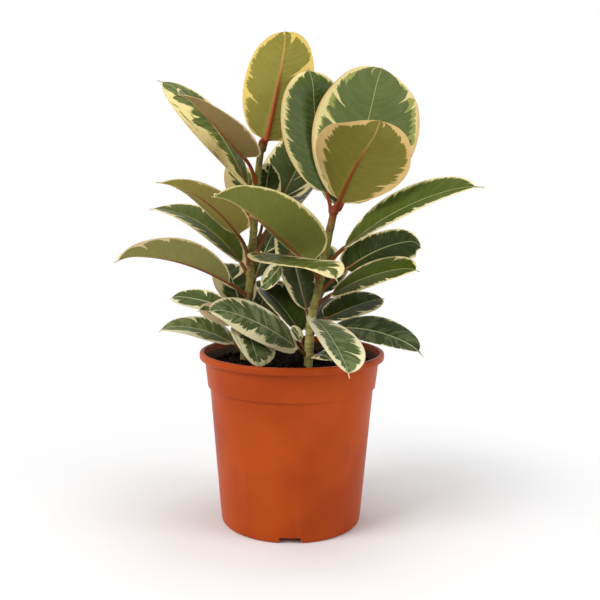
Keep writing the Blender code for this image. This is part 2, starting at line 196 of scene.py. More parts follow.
def potMaterial():
    material, tree, shader = newMaterial("terracottaPlastic")
    place = addNode(tree, "TexCoord").outputs["Object"]
    x, y, z = parts(tree, place)
    cloud = noise(tree, place, 14.0, 3.0)
    colour = mixColour(tree, between(tree, cloud, 0.35, 0.65), pot["orange"], pot["orangeDeep"])
    upright = vector(tree, calc(tree, "MULTIPLY", x, 60.0), calc(tree, "MULTIPLY", y, 60.0), z)
    flow = between(tree, noise(tree, upright, 1.0, 3.0), 0.56, 0.75)
    colour = mixColour(tree, calc(tree, "MULTIPLY", flow, 0.16), colour, pot["scuff"])
    speck = between(tree, noise(tree, place, 900.0, 1.0), 0.70, 0.78)
    colour = mixColour(tree, calc(tree, "MULTIPLY", speck, 0.25), colour, pot["scuff"])
    # painted shade: the inside of the collar is darkened in blotches up to just under the lip
    r = calc(tree, "SQRT", calc(tree, "ADD", calc(tree, "MULTIPLY", x, x), calc(tree, "MULTIPLY", y, y)))
    slope = (pot["collarTop"] - pot["collarBottom"]) / (pot["height"] - pot["lipHeight"] - pot["collarAt"])
    skin = calc(tree, "ADD", calc(tree, "MULTIPLY", calc(tree, "SUBTRACT", z, pot["collarAt"] * mm), slope),
                (pot["collarBottom"] - pot["wall"] / 2) * mm)
    waver = calc(tree, "MULTIPLY", noise(tree, place, 70.0, 3.0), pot["paintedShadeWaver"] * mm)
    level = calc(tree, "ADD", z, waver)
    below = between(tree, level, (pot["paintedShadeTop"] + pot["paintedShadeFade"]) * mm, pot["paintedShadeTop"] * mm)
    above = calc(tree, "GREATER_THAN", z, (pot["collarAt"] + pot["paintedShadeFrom"]) * mm)
    paintedShade = calc(tree, "MULTIPLY", calc(tree, "MULTIPLY", below, calc(tree, "LESS_THAN", r, skin)), above)
    paintedShade = calc(tree, "MULTIPLY", paintedShade, between(tree, noise(tree, place, 260.0, 3.0), 0.16, 0.34))
    colour = mixColour(tree, paintedShade, colour, pot["paintedShade"])
    tree.links.new(colour, shader.inputs["Base Color"])
    rough = calc(tree, "ADD", calc(tree, "MULTIPLY", noise(tree, place, 45.0, 3.0), 0.16), 0.33)
    tree.links.new(rough, shader.inputs["Roughness"])
    shader.inputs["Specular IOR Level"].default_value = 0.10
    grain = noise(tree, place, 1500.0, 2.0)
    tree.links.new(bumped(tree, grain, 0.12, 0.0002), shader.inputs["Normal"])
    return material


def wallRadius(z):  # straight taper from the foot to just under the collar
    top = pot["collarBottom"] - pot["collarStep"]
    return pot["footRadius"] + (top - pot["footRadius"]) * z / pot["collarAt"]


def arc(radius, height, size, start, end, steps):  # (radius, height) points on a round edge
    angle = np.radians(np.linspace(start, end, steps))
    return np.stack([radius + size * np.cos(angle), height + size * np.sin(angle)], 1)


def potProfile():  # from the middle of the pad, under the foot, up the outside, over the lip and down inside
    p = pot
    lipBottom = p["height"] - p["lipHeight"]
    floor = p["underside"] + p["wall"]
    wallTop = wallRadius(p["collarAt"])
    straight = np.linspace(p["footRound"], p["collarAt"] - 2.2, 12)[1:]
    collarWay = np.linspace(0.06, 0.94, 5)[:, None]
    collarLow = np.array([p["collarBottom"], p["collarAt"]])
    collarHigh = np.array([p["collarTop"], lipBottom])
    rows = [
        [(0.02, 0.0), (p["padRadius"] - 0.4, 0.0), (p["padRadius"], 0.3),
         (p["padRadius"] + 1, p["underside"]),
         (p["footRadius"] - 5.4, p["underside"]), (p["footRadius"] - 5.0, p["underside"] - 0.4),
         (p["footRadius"] - 4.4, 0.3)],
        arc(p["footRadius"] - p["footRound"], p["footRound"], p["footRound"], -90, 0, 9),
        np.stack([wallRadius(straight), straight], 1),
        arc(wallTop + 0.5, p["collarAt"] - 0.9, 0.5, 180, 100, 4),
        arc(p["collarBottom"] - 0.5, p["collarAt"] + 0.1, 0.5, -85, 0, 5),
        collarLow * (1 - collarWay) + collarHigh * collarWay,
        arc(p["collarTop"] + 0.5, lipBottom - 0.5, 0.5, 180, 95, 4),
        arc(p["lipRadius"] - 1.7, lipBottom + 1.7, 1.7, -88, -4, 8),
        arc(p["lipRadius"] - 2.0, p["height"] - 2.0, 2.0, 4, 88, 9),
        arc(p["mouthRadius"] + 1.0, p["height"] - 1.0, 1.0, 92, 178, 6),
        [(p["collarTop"] - p["wall"], lipBottom - 1.5), (p["collarBottom"] - p["wall"], p["collarAt"] + 1.6),
         (wallTop - p["wall"], p["collarAt"] - 2.0), (wallRadius(floor) - p["wall"], floor + 2.5),
         (wallRadius(floor) - p["wall"] - 2.5, floor), (0.02, floor)],
    ]
    return np.vstack([np.array(row) for row in rows])


def turned(profile, sides):  # each profile point carried round the axis
    turn = np.linspace(0, 2 * math.pi, sides, endpoint=False)
    r, z = profile[:, 0, None], profile[:, 1, None]
    return np.stack([r * np.cos(turn), r * np.sin(turn), z + 0 * turn], -1)


def boxPoints(out, side, reach, corners):  # a bar with the same four-cornered end at each reach
    up = np.array([0, 0, 1.0])
    return np.array([out * r + side * x + up * z for r in reach for x, z in corners])


def potCutters():  # tapered bars through the foot, and short cylinders through the floor
    cutters = []
    low, high = pot["notchWidths"]
    slope = (low - high) / (2 * pot["notchHeight"])
    corners = [(-low / 2 - slope, -1), (low / 2 + slope, -1),
               (high / 2, pot["notchHeight"]), (-high / 2, pot["notchHeight"])]
    reach = (pot["footRadius"] - 8, pot["footRadius"] + 5)
    for number in range(pot["notches"]):
        angle = 360 * number / pot["notches"] - 90
        points = boxPoints(direction(0.0, angle), direction(0.0, angle + 90), reach, corners)
        cutters.append((points, tubeFaces(2, 4)))
    ring = np.array([(pot["drainRadius"], pot["underside"] - 2), (pot["drainRadius"], pot["underside"] + 4)])
    for number in range(pot["drains"]):
        centre = pot["drainCircle"] * direction(0.0, 360 * (number + 0.5) / pot["drains"])
        cutters.append((turned(ring, 32) + centre, tubeFaces(2, 32)))
    return cutters


def makePot():  # the profile turned round the axis, less the cutters
    profile = potProfile()
    piece = newPiece("nurseryPot", turned(profile, pot["sides"]), tubeFaces(len(profile), pot["sides"]),
                     potMaterial(), 40)
    tools = []
    for number, (points, faces) in enumerate(potCutters()):
        tool = newPiece(f"cutter{number}", points, faces, piece.data.materials[0])
        change = piece.modifiers.new("cut", "BOOLEAN")
        change.operation, change.solver, change.object = "DIFFERENCE", "EXACT", tool
        tools.append(tool)
    turnedOut = piece.evaluated_get(bpy.context.evaluated_depsgraph_get())
    piece.data = bpy.data.meshes.new_from_object(turnedOut)
    piece.modifiers.clear()
    for tool in tools:
        bpy.data.objects.remove(tool, do_unlink=True)
    piece.data.shade_smooth()
    piece.data.set_sharp_from_angle(angle=math.radians(38))
    standsFor(piece, "nursery_pot")


# stems

stems = {
    "left": {
        "path": [(-45, 10, 112), (-44, 10, 158), (-40, 12, 219), (-37, 12, 260),
                 (-34, 12, 300), (-32, 12, 325), (-29, 12, 350)],
        "radii": (4.5, 3.0), "redLength": 5.0, "paleBase": 0.1,
    },
    "right": {
        "path": [(13, -20, 112), (15, -18, 150), (17, -16, 189), (22, -12, 210),
                 (28, -6, 240), (33, -1, 268), (38, 2, 291)],
        "radii": (4.2, 3.5), "redLength": 24.0, "paleBase": 0.55,
    },
}
bark = {
    "sides": 40, "rings": 300, "budLength": 4.0,
    "paleFrom": 160.0, "paleTo": 235.0,    # heights between which the pale base fades into the bark
    "green": (0.21, 0.19, 0.042, 1), "brown": (0.15, 0.105, 0.033, 1), "pale": (0.60, 0.54, 0.18, 1),
    "red": (0.24, 0.045, 0.014, 1), "scar": (0.055, 0.030, 0.010, 1),
}


def curve(points, where):  # Catmull-Rom curve, where 0 is the first point and 1 the next
    points = np.asarray(points, float)
    where = np.atleast_1d(np.asarray(where, float))
    start = np.clip(where.astype(int), 0, len(points) - 2)
    part = (where - start)[:, None]
    padded = np.vstack([2 * points[0] - points[1], points, 2 * points[-1] - points[-2]])
    a, b, c, d = (padded[start + step] for step in range(4))
    return 0.5 * (2 * b + (c - a) * part + (2 * a - 5 * b + 4 * c - d) * part ** 2
                  + (3 * b - a - 3 * c + d) * part ** 3)


def stemLine(stem, count):  # centre points, and a radius that falls evenly with height
    points = curve(stem["path"], np.linspace(0, len(stem["path"]) - 1, count))
    low, high = stem["radii"]
    share = (points[:, 2] - points[0, 2]) / (points[-1, 2] - points[0, 2])
    return points, low + (high - low) * share


def stemAt(stem, height):  # centre and radius of the stem at a height
    points, radii = stemLine(stem, 400)
    centre = np.array([np.interp(height, points[:, 2], points[:, axis]) for axis in range(3)])
    return centre, float(np.interp(height, points[:, 2], radii))


def barkMaterial(name, stem, heights):
    material, tree, shader = newMaterial(name)
    place = addNode(tree, "TexCoord").outputs["Object"]
    x, y, z = parts(tree, place)
    top = stem["path"][-1][2] * mm
    long = vector(tree, x, y, calc(tree, "MULTIPLY", z, 0.3))
    brown = between(tree, noise(tree, long, 260.0, 3.0), 0.42, 0.62)
    colour = mixColour(tree, brown, bark["green"], bark["brown"])
    low = between(tree, z, bark["paleTo"] * mm, bark["paleFrom"] * mm)
    colour = mixColour(tree, calc(tree, "MULTIPLY", low, stem["paleBase"]), colour, bark["pale"])
    dots = between(tree, noise(tree, place, 520.0, 1.0), 0.63, 0.70)
    colour = mixColour(tree, calc(tree, "MULTIPLY", dots, 0.45), colour, bark["pale"])
    for height in heights:  # a dark leaf scar under each stalk
        off = calc(tree, "ABSOLUTE", calc(tree, "SUBTRACT", z, (height - 2.6) * mm))
        line = calc(tree, "MULTIPLY", between(tree, off, 0.0009, 0.0003), 0.35)
        colour = mixColour(tree, line, colour, bark["scar"])
    colour = mixColour(tree, between(tree, z, top - stem["redLength"] * mm, top), colour, bark["red"])
    tree.links.new(colour, shader.inputs["Base Color"])
    shader.inputs["Roughness"].default_value = 0.48
    shader.inputs["Specular IOR Level"].default_value = 0.12
    tree.links.new(bumped(tree, noise(tree, long, 700.0, 3.0), 0.5, 0.0004), shader.inputs["Normal"])
    return material


def makeStem(side):  # a round section along the path, swollen at each leaf, with a pointed bud
    stem = stems[side]
    heights = [row[0] for row, _ in leafRows[side]]
    points, radii = stemLine(stem, bark["rings"])
    z = points[:, 2]
    for height in heights:
        swelling, neck = np.exp(-((z - height + 1.2) / 2.4) ** 2), np.exp(-((z - height + 4) / 1.1) ** 2)
        radii = radii + 0.30 * swelling - 0.10 * neck
    lean = points[-1] - points[-2]
    lean = lean / np.linalg.norm(lean)
    reach = np.linspace(0, 1, 16)[1:, None]
    points = np.vstack([points, points[-1] + lean * reach * bark["budLength"]])
    radii = np.append(radii, radii[-1] * (1 - reach[:, 0] ** 1.7) ** 0.8 + 0.05)
    turn = np.linspace(0, 2 * math.pi, bark["sides"], endpoint=False)
    level = points[:, 2, None]
    wobble = 1 + 0.02 * np.sin(3 * turn + level / 9) + 0.012 * np.sin(5 * turn - level / 5)
    ring = np.stack([np.cos(turn), np.sin(turn), 0 * turn], 1)
    cloud = points[:, None] + (radii[:, None] * wobble)[..., None] * ring
    piece = newPiece(side + "Stem", cloud, tubeFaces(len(points), bark["sides"]),
                     barkMaterial(side + "Bark", stem, heights))
    standsFor(piece, side + "_stem")


# soil

soil = {
    "top": 147.0, "rise": 1.5, "wave": 1.3, "gap": 0.3,  # gap to the pot's wall
    "rings": 90, "sides": 220, "clods": 900, "clodSize": (0.7, 2.3),
    "dark": (0.005, 0.0032, 0.0018, 1), "brown": (0.022, 0.013, 0.0065, 1), "fibre": (0.075, 0.045, 0.023, 1),
}


def soilMaterial():
    material, tree, shader = newMaterial("pottingSoil")
    place = addNode(tree, "TexCoord").outputs["Object"]
    crumbs = noise(tree, place, 420.0, 4.0, 0.65)
    colour = mixColour(tree, between(tree, crumbs, 0.45, 0.72), soil["dark"], soil["brown"])
    bits = noise(tree, place, 800.0, 1.0)
    colour = mixColour(tree, between(tree, bits, 0.70, 0.74), colour, soil["fibre"])
    tree.links.new(colour, shader.inputs["Base Color"])
    wet = between(tree, noise(tree, place, 300.0, 2.0), 0.52, 0.66)
    tree.links.new(mixNumber(tree, wet, 0.9, 0.5), shader.inputs["Roughness"])
    shader.inputs["Specular IOR Level"].default_value = 0.05
    tree.links.new(bumped(tree, crumbs, 0.9, 0.0012), shader.inputs["Normal"])
    return material


def soilHeight(x, y):  # two crossed waves and a slight rise to the middle
    wave = np.sin(x / 9 + 0.6) * np.cos(y / 11) + 0.5 * np.sin((x + y) / 6)
    return soil["top"] + soil["wave"] * wave + soil["rise"] * (1 - (x * x + y * y) / pot["collarTop"] ** 2)


def makeSoil(chance):  # a lump that fills the pot, with a rippled top and clods on it
    floor = pot["underside"] + pot["wall"] + soil["gap"]
    wall = wallRadius(floor) - pot["wall"] - soil["gap"]
    step = wallRadius(pot["collarAt"]) - pot["wall"] - soil["gap"]
    rim = pot["collarBottom"] - pot["wall"] - soil["gap"] + 1.0
    side = np.array([(wall - 3, floor), (wall - 0.4, floor + 3), (step - 0.5, pot["collarAt"] - 3),
                     (rim - 2.2, pot["collarAt"] + 3)])
    turn = np.linspace(0, 2 * math.pi, soil["sides"], endpoint=False)
    r = rim * np.linspace(1, 0.004, soil["rings"])[:, None]
    x, y = r * np.cos(turn), r * np.sin(turn)
    # roughness: three crossed sine waves, each finer and lower than the last
    rough = sum(size * np.sin(x * a + p) * np.sin(y * b + q) for size, a, b, p, q in
                [(0.45, 0.9, 1.1, 0, 1), (0.30, 1.9, 1.6, 2, 0), (0.22, 3.1, 2.7, 1, 3)])
    top = np.stack([x, y, soilHeight(x, y) + rough - 1.2 * ease(0.96, 1, r / rim)], -1)
    body = np.vstack([turned(side, soil["sides"]).reshape(-1, 3), top.reshape(-1, 3)])
    faces = tubeFaces(len(side) + soil["rings"], soil["sides"])
    # clods: squashed, knobbly little balls strewn evenly over the top
    ballPoints, ballFaces = roundLump(5, 8)
    clods = soil["clods"]
    where = np.sqrt(chance.random(clods)) * (rim - 3)
    angle = chance.random(clods) * 2 * math.pi
    size = soil["clodSize"][0] + (soil["clodSize"][1] - soil["clodSize"][0]) * chance.random(clods) ** 2.5
    centre = np.stack([where * np.cos(angle), where * np.sin(angle)], 1)
    height = soilHeight(centre[:, 0], centre[:, 1]) + size * 0.25
    shape = ballPoints[None] * (1 + 0.35 * (chance.random((clods, len(ballPoints), 1)) - 0.5))
    shape = shape * size[:, None, None] * (0.6 + 0.8 * chance.random((clods, 1, 3)))
    shape[..., :2] += centre[:, None]
    shape[..., 2] += height[:, None]
    points = np.vstack([body, shape.reshape(-1, 3)])
    for number in range(clods):
        start = len(body) + number * len(ballPoints)
        faces += [[start + corner for corner in face] for face in ballFaces]
    piece = newPiece("pottingSoil", points, faces, soilMaterial(), 180)
    standsFor(piece, "potting_soil")


def roundLump(rings, sides):  # a ball of unit radius, with its poles closed by one face each
    tilt = np.linspace(-1.25, 1.25, rings)
    turn = np.linspace(0, 2 * math.pi, sides, endpoint=False)
    points = np.stack([np.cos(tilt)[:, None] * np.cos(turn), np.cos(tilt)[:, None] * np.sin(turn),
                       np.sin(tilt)[:, None] + 0 * turn], -1)
    return points.reshape(-1, 3), tubeFaces(rings, sides)


# leaves

# Each leaf: height on its stem, heading (0 is +X, 90 is +Y), stalk length, stalk climb, blade length,
# blade width, climb at the base, droop, roll, roll added by the tip, fold of the left and right half,
# flattening of the fold, shift of the widest point, sideways sway, bend of the last fifth, bluntness of
# the ends (smaller is blunter), length of the drip tip.
# Lengths are in mm and angles in degrees. Many of the uneven values come from a fitting program and
# aren't design choices. Then comes what sets the leaf's look apart from the others.
leafFields = ("height", "heading", "stalk", "climb", "length", "width", "rise", "droop", "roll", "twist",
              "foldLeft", "foldRight", "flatten", "belly", "sway", "curl", "blunt", "tip")
leafRows = {
    "left": [
        ((344, 54.7, 8, 52, 105.6, 63.9, 69.9, -12, -132.9, -3.8, 6, 6, 6, 1.12, -19.1, -10, 0.39, 0.8),
         {"creamLeft": 0.05, "creamRight": 0.035, "flame": 0.17, "lobe": 11.0, "keel": 1.5, "ribs": 1.6,
          "under": (0.29, 0.25, 0.05, 1), "underCream": (0.8, 0.58, 0.16, 1)}),
        ((314, -123.6, 27, 70, 100, 68.1, 34.2, 8.2, -21.4, 0, 19, 19, 10, 0.73, 0, 20, 0.55, 3),
         {"creamLeft": 0.05, "creamRight": 0.05, "flame": 0.05, "teeth": 0.04,
          "under": (0.34, 0.215, 0.08, 1), "underCream": (0.8, 0.62, 0.34, 1)}),
        ((300, 168.8, 10, 60, 134.5, 57, 67.5, 39.5, -11.9, -15, -7, -3, 5, 1.12, 0, 9.9, 0.60, 6),
         {"creamLeft": 0.45, "creamRight": 0.06, "tipCream": -0.4, "flame": 0.12, "lobe": 14.0,
          "milky": 0.5, "stray": 1.0}),
        # this leaf's own dark greens are painted shade too
        ((252, 45.1, 57, 50, 87.3, 75.3, 58.3, 0, 17.3, 0, 19, 18, 10, 1.02, -34, 20, 0.36, 4),
         {"tone": "innerPaintedShade", "creamLeft": 0.04, "flame": 0.2, "milky": 0.15, "deep": (0.05, 0.068, 0.014, 1),
          "milk": (0.12, 0.15, 0.06, 1)}),
        ((270, 113, 12, 60, 72, 36, 54, 10, 0, 0, 15, 15, 10, 1.00, 0, 20, 0.50, 3),
         {"creamLeft": 0.3, "creamRight": 0.1, "flame": 0.3}),
        ((240, 59.2, 50, 52, 70.1, 36, 40.5, 6, 10, 0, 10, 10, 10, 1.00, -60, 20, 0.50, 3),
         {"tone": "innerPaintedShade", "creamLeft": 0.05, "creamRight": 0.05, "milky": 0.1, "gloss": 0.15}),
        ((259, 30, 22, 62, 54, 28, 84, 4, 64, 0, 12, 12, 10, 1.00, 0, 20, 0.50, 2.5),
         {"tone": "innerPaintedShade", "creamLeft": 0.18, "lobe": 6.0, "milky": 0.4}),
        ((240, -129, 30, 80, 110, 43, 44, 41.1, 13, 0, 14, 24, 5, 0.63, 0, 0.6, 0.48, 7),
         {"creamLeft": 0.05, "creamRight": 0.04, "flame": 0.06, "teeth": 0.05,
          "under": (0.34, 0.275, 0.065, 1)}),
        ((230, 151.2, 10, 60, 124, 60.8, 48.6, 53.4, -9.2, 0, 20, 15, 15, 1.17, 0, -2.2, 0.60, 6),
         {"creamLeft": 0.05, "creamRight": 0.07, "flame": 0.14, "milky": 0.2, "gloss": 0.02}),
        ((214, 66, 12, 50, 64, 40, 55, 20, 0, 0, 12, 12, 10, 1.00, 0, 20, 0.50, 2),
         {"tone": "innerPaintedShade", "creamLeft": 0.1, "creamRight": 0.1}),
        ((242, -70, 16, 80, 130, 56, -6.8, -10.6, 4.5, 8.3, 3, 17.5, 9.4, 1.38, 30.5, 56, 0.47, 5),
         {"creamLeft": 0.06, "creamRight": 0.12, "tipCream": 0.7, "flame": 0.3, "lobe": 8.0, "teeth": 0.22,
          "keel": 0.7, "underRib": (0.17, 0.15, 0.05, 1), "stalk": (0.16, 0.09, 0.03, 1)}),
        ((210, -147, 20, 40, 116, 53.5, 29.7, 34.5, 17.8, 0, 30, 30, 5, 1.15, 0, 20, 0.60, 5),
         {"creamLeft": 0.03, "creamRight": 0.08, "flame": 0.22, "lobe": 16.0, "teeth": 0.06,
          "under": (0.27, 0.25, 0.08, 1), "underCream": (0.74, 0.58, 0.32, 1)}),
        ((188, 146, 22, 28, 74, 27.5, 11.8, 15.9, -33.2, 0, 10, 10, 10, 1.00, 0, 20, 0.55, 3.5),
         {"creamLeft": 0.16, "creamRight": 0.05, "flame": 0.12, "milky": 0.25}),
        ((182, 116, 16, 60, 62, 44, 50, 14, 0, 0, 15, 15, 10, 1.00, 0, 20, 0.55, 3),
         {"tone": "innerPaintedShade", "creamLeft": 0.3, "creamRight": 0.1}),
        ((182, -85, 30, 4, 58, 44, -1, 60, -22, 0, 12, 12, 10, 1.30, 24, 10, 0.55, 2),
         {"creamLeft": 0.28, "creamRight": 0.28, "flame": 0.4, "lobe": 7.0, "teeth": 0.25, "stray": 0.5}),
        ((178, 186, 8, 40, 38, 30, 36, 34, -30, 0, 10, 10, 10, 1.00, 0, 20, 0.50, 2),
         {"creamLeft": 0.75, "creamRight": 0.6, "cream": (0.78, 0.6, 0.36, 1)}),
        ((163, -122, 8, 60, 30, 13, 68, 10, 0, 0, 15, 15, 10, 1.00, 0, 0, 0.50, 2),
         {"creamLeft": 0.5, "creamRight": 0.4}),
        ((158, 170, 8, 45, 78, 42.8, 29.4, 44.5, -15.9, 0, 12, 12, 10, 1.00, 0, 20, 0.55, 3.5),
         {"creamLeft": 0.22, "creamRight": 0.05, "flame": 0.12, "milky": 0.4,
          "deep": (0.095, 0.125, 0.03, 1), "milk": (0.3, 0.32, 0.14, 1)}),
        ((164, 70, 10, 50, 76, 60, 46, 12, 0, 0, 12, 12, 10, 1.00, 0, 20, 0.55, 3),
         {"tone": "innerPaintedShade", "creamLeft": 0.08, "creamRight": 0.08}),
    ],
    "right": [
        ((288, -65, 10, 60, 91, 83, 50, 9, -56, 34, 0, 0, 10, 1.57, 12, -29, 0.50, 0.8),
         {"creamLeft": 0.07, "creamRight": 0.15, "flame": 0.1, "teeth": 0.1, "keel": 1.35,
          "under": (0.225, 0.195, 0.034, 1), "underRib": (0.28, 0.075, 0.022, 1)}),
        ((290, 0, 6, 46, 126, 95, 71, -10, 84, 0, 5, 5, 8, 1.15, 0, 10, 0.51, 1.5),
         {"seed": 240.0, "creamLeft": 0.1, "creamRight": 0.035, "tipCream": 0.15, "baseCream": 0.1,
          "flame": 0.15, "lobe": 7.5, "teeth": 0.07, "haloWidth": 0.3, "milky": 0.25,
          "cream": (0.82, 0.7, 0.33, 1), "deep": (0.125, 0.16, 0.055, 1), "milk": (0.2, 0.235, 0.085, 1),
          "halo": (0.34, 0.36, 0.1, 1)}),
        ((288, 140, 16, 79, 117, 76, 72, -18, -9, 0, 5, 6, 10, 1.05, -14, 30, 0.50, 1.5),
         {"creamLeft": 0.07, "creamRight": -0.02, "baseCream": 0.35, "flame": 0.06, "teeth": 0.1,
          "milky": 0.15, "ribs": 1.5, "gloss": 0.12, "shine": 0.26, "deep": (0.062, 0.095, 0.014, 1)}),
        ((240, -24, 22, 50, 137.3, 54.8, 40.2, 33.1, 29.8, 0, 17, 15, 10, 0.98, 3.9, 11.2, 0.64, 8),
         {"creamLeft": 0.03, "creamRight": 0.06, "flame": 0.08, "milky": 0.15, "gloss": 0.02}),
        ((228, -137.6, 16, 60, 125.1, 71, 39.6, 18, 14.4, 0, 38, 38, 10, 0.67, 0, 20, 0.59, 4),
         {"creamLeft": 0.045, "creamRight": 0.04, "flame": 0.04, "teeth": 0.04,
          "under": (0.19, 0.2, 0.042, 1), "underCream": (0.8, 0.68, 0.3, 1)}),
        ((226, 90, 14, 60, 36, 34, 42, 20, 0, 0, 12, 12, 10, 1.00, 0, 20, 0.50, 1.5), {"tone": "innerPaintedShade"}),
        ((234, 162, 49, 73, 32, 22, -55, -20, -62, 0, 10, 10, 10, 1.00, -8, 0, 0.50, 1.5),
         {"tone": "lower", "creamLeft": 0.04, "creamRight": 0.5, "flame": 0.1, "milky": 0.9}),
        ((218, 23, 28, 40, 86, 50, 34, 35, 36, 0, 0, 0, 10, 1.00, -6, 50, 0.37, 2),
         {"creamLeft": 0.03, "creamRight": 0.03, "flame": 0.06, "milky": 0.05, "ripple": 0.05,
          "gloss": 0.015, "deep": (0.024, 0.036, 0.007, 1)}),
        ((206, -30.3, 14, 40, 90, 46.2, 31.4, 27.8, 30.2, 0, 10, 10, 10, 1.06, 0, 19.1, 0.55, 4),
         {"creamLeft": 0.03, "creamRight": 0.05, "flame": 0.08, "milky": 0.1, "gloss": 0.02,
          "deep": (0.056, 0.078, 0.006, 1)}),
        ((204, 55, 12, 50, 44, 30, 45, 20, 0, 0, 12, 12, 10, 1.00, 0, 20, 0.50, 2),
         {"tone": "innerPaintedShade", "creamLeft": 0.06, "creamRight": 0.06, "milky": 0.1, "gloss": 0.15}),
        ((192, -76, 6, 30, 104, 47, -3, 34, -16, 0, 20, 20, 10, 1.40, 5, 10, 0.48, 5),
         {"creamLeft": 0.1, "creamRight": 0.24, "flame": 0.25, "lobe": 8.0, "teeth": 0.2, "milky": 0.5,
          "deep": (0.08, 0.11, 0.032, 1), "milk": (0.22, 0.26, 0.12, 1)}),
        ((188, 113, 12, 60, 100, 36, 56, 8, 0, 0, 12, 12, 10, 1.00, 0, 20, 0.50, 4.5),
         {"tone": "innerPaintedShade", "creamLeft": 0.12, "creamRight": 0.04, "flame": 0.08, "milky": 0.1,
          "gloss": 0.35, "shine": 0.24}),
        ((186.5, 23.8, 10, 28, 65, 43.5, 21, 11.1, 18.8, 0, 12, 12, 10, 1.00, 0, 10, 0.50, 3),
         {"tone": "innerPaintedShade", "creamLeft": 0.04, "creamRight": 0.05, "flame": 0.12, "milky": 0.25}),
        # its dark green is painted shade, as for the leaves inside the plant
        ((180, -30.7, 18, 25, 93.5, 38, 8.6, 38.9, 23, 0, 12, 10, 10, 0.97, 0, 16.9, 0.55, 7),
         {"creamLeft": -0.06, "creamRight": -0.05, "tipCream": 0.1, "baseCream": 0.1, "flame": 0.06,
          "milky": 0.4, "ripple": 0.04, "deep": (0.035, 0.05, 0.018, 1)}),
        ((168, 132, 12, 55, 72, 50, 44, 24, 0, 0, 26, 30, 10, 1.00, 0, 20, 0.50, 3),
         {"tone": "innerPaintedShade", "creamLeft": 0.05, "creamRight": 0.05, "flame": 0.08, "milky": 0.2}),
        ((165, 178, 6, 50, 18, 11, 70, 30, -60, 0, 10, 10, 10, 1.00, 0, 20, 0.50, 1),
         {"creamLeft": 0.4, "creamRight": 0.4}),
        ((160, -156, 8, 40, 95, 49, 39, 28, -40, 0, 6, 6, 10, 0.90, 0, 20, 0.66, 1.5),
         {"creamLeft": 0.22, "creamRight": 0.05, "tipCream": 0.25, "flame": 0.2, "teeth": 0.24,
          "haloWidth": 0.1, "milky": 0.85, "deep": (0.085, 0.115, 0.035, 1),
          "milk": (0.22, 0.25, 0.12, 1)}),
        ((158, -60, 6, 20, 30, 20, 20, 40, 20, 0, 10, 10, 10, 1.00, 0, 20, 0.50, 1.5), {"tone": "innerPaintedShade"}),
        ((274, 72, 24, 62, 96, 46, 44, 26, 0, 0, 12, 12, 10, 1.00, 0, 20, 0.55, 4.5),
         {"tone": "innerPaintedShade", "creamLeft": 0.06, "creamRight": 0.06, "gloss": 0.05}),
        ((172, 78, 8, 40, 78, 42, 32, 26, 0, 0, 12, 12, 10, 1.00, 0, 20, 0.55, 3),
         {"tone": "innerPaintedShade", "creamLeft": 0.1, "creamRight": 0.1}),
    ],
}
blade = {
    "across": 33, "ringsPerMm": 1.0, "fewestRings": 34, "stalkRings": 14,
    "tipWidth": 0.16,      # the drip tip's widest half, as a share of the blade's
    "droopPower": 1.2, "curlFrom": 0.78,  # how the droop grows along the blade, and where the curl sets in
    "stalkRadius": (1.1, 0.0055), "gap": 0.3, "sunk": 1.6,  # radius, and its growth per mm of blade
    "joinLength": 5.0, "thickness": 0.5, "marginFade": 0.4,
    "ribDepth": 1.25, "ribWidth": (1.9, 0.5), "groove": 0.30,
    "veinSpacing": 5.0, "veinLean": 0.53, "veinBend": 1.25, "veinRelief": 0.16,
    "lowRelief": 0.5,      # share of that relief on the underside
    "fineVein": 2.5,       # spacing of the fine veins in the colour, mm
}


def walk(steps, length):  # running sum of unit steps, scaled to the length
    middle = (steps[1:] + steps[:-1]) / 2
    middle *= length / len(middle) / np.linalg.norm(middle, axis=1, keepdims=True)
    return np.vstack([np.zeros(3), np.cumsum(middle, 0)])


def halfWidth(leaf, along):  # fourth root of the summed fourth powers of a rounded body and a drip tip
    body = np.clip(along / (1 - leaf["tip"] / leaf["length"]), 0, 1) ** leaf["belly"]
    body = np.clip(4 * body * (1 - body), 0, 1) ** leaf["blunt"]
    drip = np.where(along > 0.7, blade["tipWidth"] * (np.clip(1 - along, 0, 1) / blade["tipWidth"]) ** 1.4, 0)
    return leaf["width"] / 2 * (body ** 4 + np.minimum(drip, blade["tipWidth"]) ** 4) ** 0.25


def turnAbout(side, up, degrees):  # both directions turned about the line they are square to
    angle = np.radians(degrees)[:, None]
    return side * np.cos(angle) + up * np.sin(angle), up * np.cos(angle) - side * np.sin(angle)


